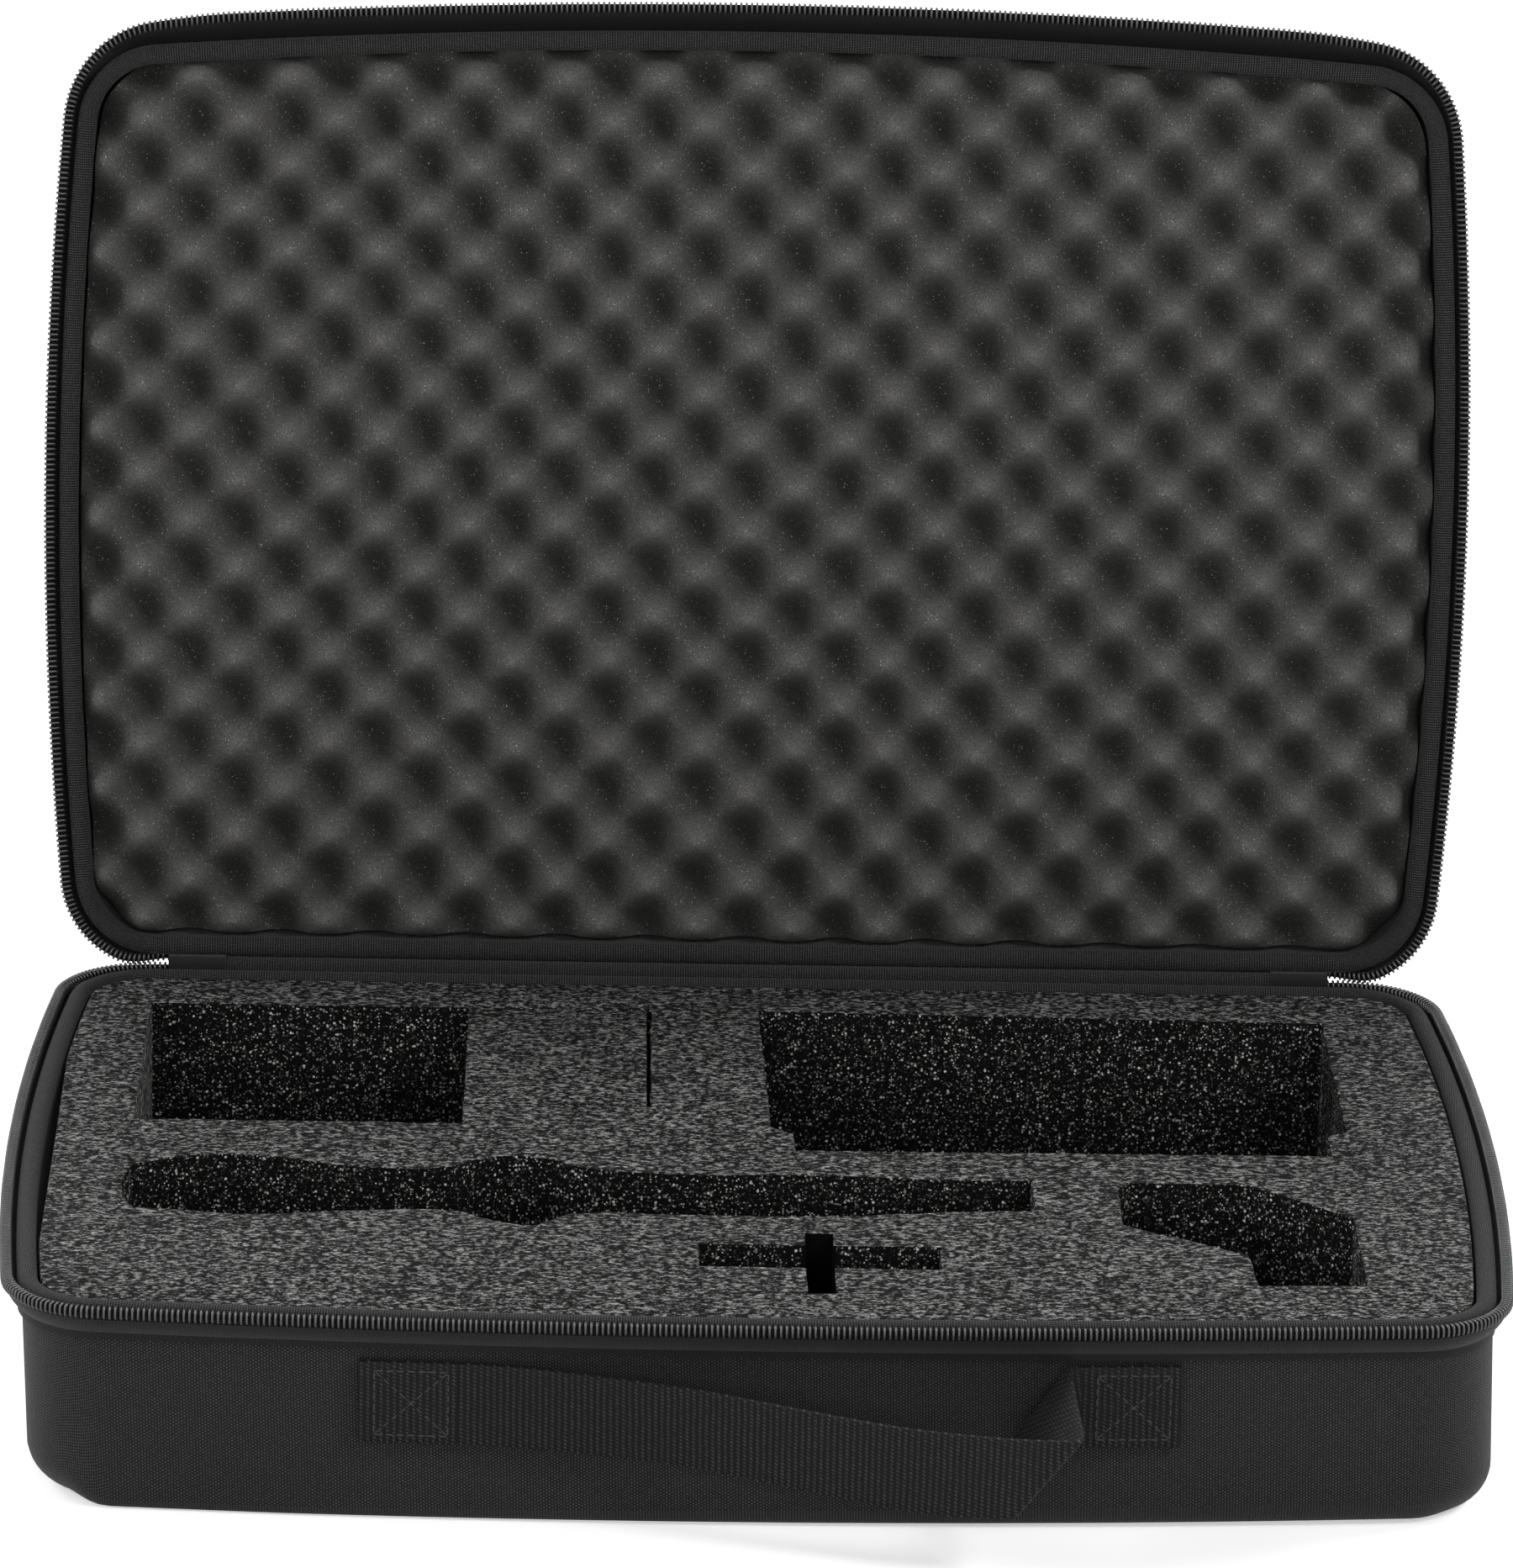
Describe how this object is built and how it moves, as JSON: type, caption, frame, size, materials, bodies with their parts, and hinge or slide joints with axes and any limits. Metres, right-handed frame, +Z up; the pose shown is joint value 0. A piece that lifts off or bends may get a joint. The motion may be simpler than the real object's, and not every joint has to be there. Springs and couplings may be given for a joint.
{
  "type": "microphone case",
  "caption": "Soft-sided zip case for a wireless microphone set, lid open, with an egg-crate foam lid, die-cut foam insert and front webbing handle.",
  "frame": {"origin": "centre of the flat underside of the base shell", "axes": "+Z up out of the base, -Y towards the handle side, +X to the right seen from the handle side; the lid stands open at the back"},
  "size_m": [0.4496, 0.4245, 0.364],
  "materials": {
    "shell_cloth": "coarse black woven polyester bonded over moulded foam board",
    "binding_tape": "black ribbed binding tape",
    "zip_cloth": "black herringbone zip tape",
    "zip_coil": "dark nylon coil with a soft shine",
    "slider_metal": "black painted die casting, bare along the rubbed edges",
    "webbing": "black ribbed webbing",
    "insert_foam": "charcoal closed-cell polyethylene foam with open cells on the cut faces",
    "crate_foam": "charcoal open-cell soft foam, egg-crate cut"
  },
  "bodies": {
    "base": {"base_shell": "shell_cloth", "base_rim_binding": "binding_tape", "base_zip_tape": "zip_cloth", "base_zip_coil": "zip_coil", "zip_stop_left": "slider_metal", "zip_stop_right": "slider_metal", "handle_end_left": "webbing", "handle_end_right": "webbing", "handle_backing_left": "webbing", "handle_backing_right": "webbing", "foam_insert": "insert_foam", "foam_base_pad": "insert_foam", "hinge_strip": "binding_tape"},
    "lid": {"lid_shell": "shell_cloth", "lid_rim_binding": "binding_tape", "lid_zip_tape": "zip_cloth", "lid_zip_coil": "zip_coil", "lid_foam": "crate_foam"},
    "slider_left": {"zip_slider_left": "slider_metal"},
    "slider_right": {"zip_slider_right": "slider_metal"},
    "puller_left": {"zip_puller_left": "slider_metal"},
    "puller_right": {"zip_puller_right": "slider_metal"},
    "handle": {"handle_strap": "webbing"},
    "filler": {"foam_filler_block": "insert_foam"}
  },
  "joints": [
    {"name": "lid_hinge", "type": "hinge", "parent": "base", "child": "lid", "pos_m": [0, 0.1502, 0.065], "axis": [-1, 0, 0], "range_deg": [-99.2, 0], "deforming": ["hinge_strip"]},
    {"name": "slider_left_slide", "type": "slide", "parent": "base", "child": "slider_left", "axis": [-1, 0, 0], "range_m": [0, 0.006]},
    {"name": "slider_right_slide", "type": "slide", "parent": "base", "child": "slider_right", "axis": [1, 0, 0], "range_m": [0, 0.006]},
    {"name": "puller_left_hinge", "type": "hinge", "parent": "slider_left", "child": "puller_left", "pos_m": [-0.17655, 0.15515, 0.0604], "axis": [0, 0, 1], "range_deg": [0, 180]},
    {"name": "puller_right_hinge", "type": "hinge", "parent": "slider_right", "child": "puller_right", "pos_m": [0.17655, 0.15515, 0.0604], "axis": [0, 0, -1], "range_deg": [0, 180]},
    {"name": "handle_swing", "type": "hinge", "parent": "base", "child": "handle", "pos_m": [0, -0.14844, 0.0489], "axis": [-1, 0, 0], "range_deg": [0, 45]},
    {"name": "filler_lift", "type": "slide", "parent": "base", "child": "filler", "axis": [0, 0, 1], "range_m": [0, 0.06]}
  ]
}
